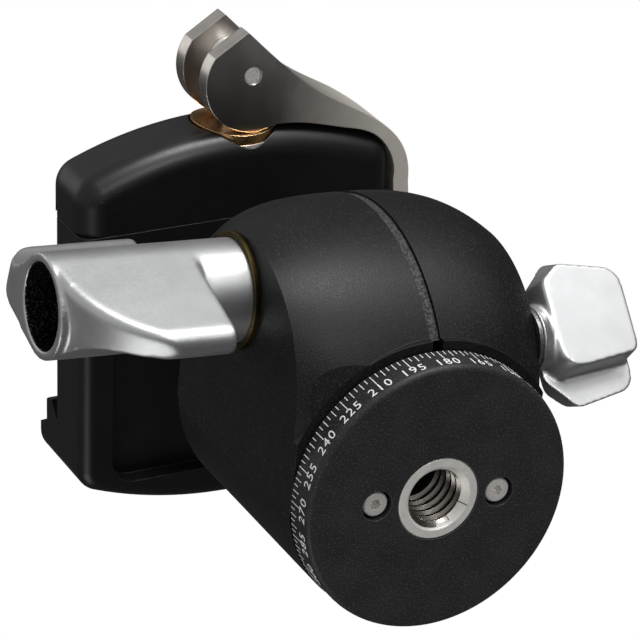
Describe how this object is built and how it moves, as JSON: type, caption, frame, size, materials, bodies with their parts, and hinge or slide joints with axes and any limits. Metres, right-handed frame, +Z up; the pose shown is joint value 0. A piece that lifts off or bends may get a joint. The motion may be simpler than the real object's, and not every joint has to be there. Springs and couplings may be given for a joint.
{
  "type": "tripod ball head",
  "caption": "Compact tripod ball head with a panning base marked in degrees, two winged clamp knobs and a lever-operated dovetail quick-release clamp.",
  "frame": {"origin": "centre of the base's bottom face, at the mouth of the tripod thread", "axes": "+Z runs up the head along the pan axis, -X points out of the main knob, +X out of the pan knob, and -Y at the slit in the front of the housing"},
  "size_m": [0.0853, 0.0776, 0.0862],
  "materials": {
    "base_black": "matt black anodised, fine bead-blasted grain, white engraved degree scale",
    "insert_steel": "turned stainless steel, satin, with a cut thread",
    "screw_steel": "bright steel socket heads",
    "inner_aluminium": "turned aluminium",
    "spring_steel": "dark spring steel",
    "acetal_white": "off-white bearing plastic",
    "housing_black": "matt black anodised with a coarse bead-blasted grain",
    "seal_grey": "grainy dark grey foam strip",
    "acetal_black": "black bearing plastic",
    "insert_inner": "plain turned steel",
    "knob_silver": "silver, fine bead-blasted",
    "screw_inner": "plain steel",
    "bronze": "bronze, turned",
    "ball_black": "smooth black anodised ball and stem",
    "clamp_black": "satin black anodised",
    "pin_steel": "ground steel pins",
    "washer_steel": "bright steel",
    "lever_steel": "satin cast steel with bright worn edges"
  },
  "bodies": {
    "base": {"base_disc": "base_black", "thread_insert": "insert_steel", "base_screws": "screw_steel", "pan_spindle": "inner_aluminium", "spindle_snap_ring": "spring_steel", "pan_friction_washer": "acetal_white"},
    "body": {"housing": "housing_black", "slot_seal": "seal_grey", "ball_seat": "acetal_black", "main_clamp_insert": "insert_inner", "pan_clamp_insert": "insert_inner", "main_knob_washer": "bronze", "pan_knob_washer": "spring_steel"},
    "main_knob_body": {"main_knob": "knob_silver", "main_clamp_screw": "screw_inner"},
    "pan_knob_body": {"pan_knob": "knob_silver", "pan_clamp_screw": "screw_inner"},
    "ball_body": {"ball": "ball_black"},
    "clamp": {"clamp_body": "clamp_black", "stem_screw": "screw_steel", "jaw_guide_pins": "pin_steel", "jaw_springs": "spring_steel", "draw_rod": "pin_steel"},
    "jaw": {"moving_jaw": "clamp_black", "cam_washer": "bronze", "steel_washer": "washer_steel"},
    "lever_body": {"lever": "lever_steel", "lever_pin": "pin_steel"}
  },
  "joints": [
    {"name": "pan", "type": "hinge", "parent": "base", "child": "body", "pos_m": [0, 0, 0.01], "axis": [0, 0, 1], "continuous": true},
    {"name": "main_knob_turn", "type": "hinge", "parent": "body", "child": "main_knob_body", "pos_m": [-0.035, -0.0214, 0.0295], "axis": [-1, 0, 0], "range_deg": [0, 240]},
    {"name": "pan_knob_turn", "type": "hinge", "parent": "body", "child": "pan_knob_body", "pos_m": [0.025, -0.0175, 0.0123], "axis": [1, 0, 0], "range_deg": [0, 240]},
    {"name": "ball_tilt", "type": "hinge", "parent": "body", "child": "ball_body", "pos_m": [0, 0, 0.038], "axis": [-1, 0, 0], "range_deg": [-34, 88]},
    {"name": "clamp_spin", "type": "hinge", "parent": "ball_body", "child": "clamp", "pos_m": [0, 0, 0.0675], "axis": [0, 0, 1], "continuous": true},
    {"name": "lever_swing", "type": "hinge", "parent": "clamp", "child": "lever_body", "pos_m": [-0.00116, -0.03853, 0.07475], "axis": [0, 0, -1], "range_deg": [0, 140]},
    {"name": "jaw_slide", "type": "slide", "parent": "clamp", "child": "jaw", "axis": [-0.0819, -0.9966, 0], "range_m": [0, 0.00233]}
  ],
  "couplings": [
    {"joint": "jaw_slide", "follows": "lever_swing", "m_per_rad": 0.00095}
  ]
}
